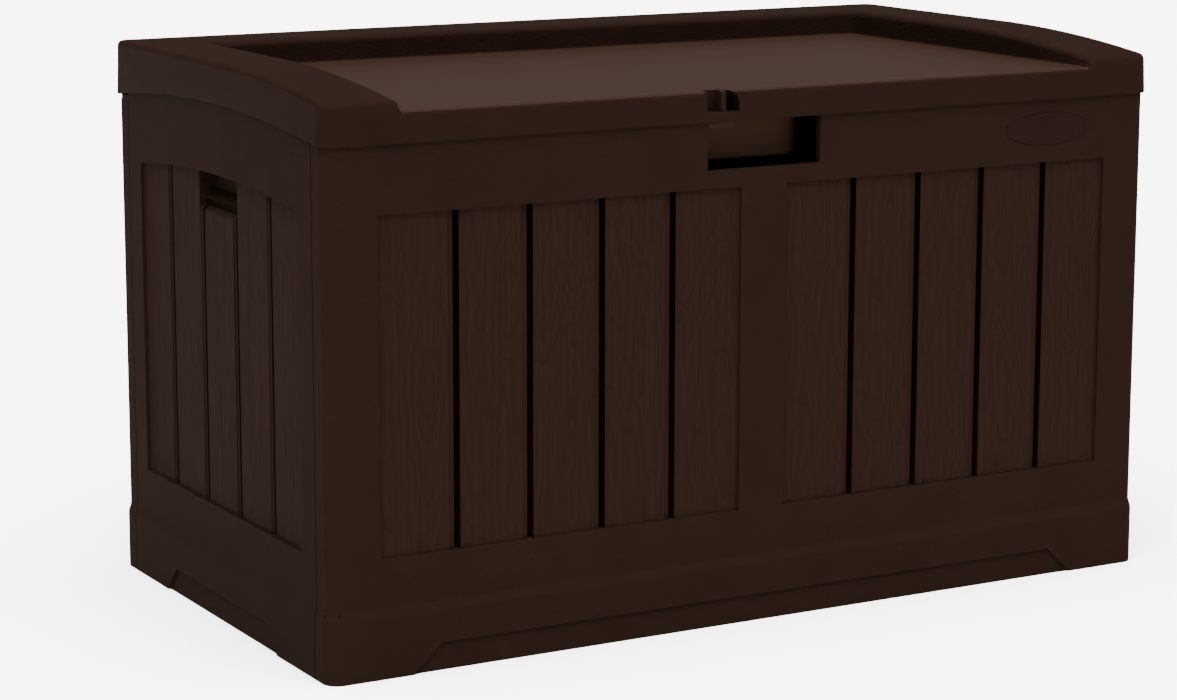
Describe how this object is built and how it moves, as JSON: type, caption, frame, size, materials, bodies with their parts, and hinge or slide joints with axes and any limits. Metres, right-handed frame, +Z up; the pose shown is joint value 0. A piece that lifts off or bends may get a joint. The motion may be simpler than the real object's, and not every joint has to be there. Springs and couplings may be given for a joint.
{
  "type": "deck storage box",
  "caption": "Outdoor resin storage box with board-pattern walls, side hand pockets and a rear-hinged seat lid with raised arms and rim.",
  "frame": {"origin": "centre of the box's footprint, on the ground", "axes": "+X along the length to the right as seen from the front, +Y from front to back, +Z up"},
  "size_m": [1.048, 0.573, 0.618],
  "materials": {
    "wall_resin": "dark java brown moulded polypropylene, pebbled frames and wood-grain boards",
    "lid_resin": "dark java brown moulded polypropylene, fine pebble",
    "liner_resin": "dark brown moulded polypropylene, satin",
    "floor_resin": "dark brown moulded polypropylene, satin",
    "fitting_resin": "dark brown glass-filled polypropylene",
    "badge_resin": "dark brown moulded plate, satin",
    "pin_steel": "zinc plated steel",
    "screw_steel": "zinc plated steel"
  },
  "bodies": {
    "box": {"front_panel": "wall_resin", "back_panel": "wall_resin", "left_side_panel": "wall_resin", "right_side_panel": "wall_resin", "floor_panel": "floor_resin", "lock_lug": "fitting_resin", "badge": "badge_resin", "corner_screws": "screw_steel", "floor_screws": "screw_steel", "lock_lug_screws": "screw_steel", "hinge_pin_left": "pin_steel", "hinge_pin_centre": "pin_steel", "hinge_pin_right": "pin_steel", "hinge_pin_clips": "pin_steel"},
    "lid": {"lid_shell": "lid_resin", "lid_liner": "liner_resin", "lid_baffle": "liner_resin", "hinge_bracket_left": "fitting_resin", "hinge_bracket_centre": "fitting_resin", "hinge_bracket_right": "fitting_resin", "hinge_bracket_screws": "screw_steel", "lid_liner_screws": "screw_steel", "lid_baffle_screws": "screw_steel"}
  },
  "joints": [
    {"name": "lid_hinge", "type": "hinge", "parent": "box", "child": "lid", "pos_m": [0, 0.279, 0.56], "axis": [-1, 0, 0], "range_deg": [0, 105]}
  ]
}
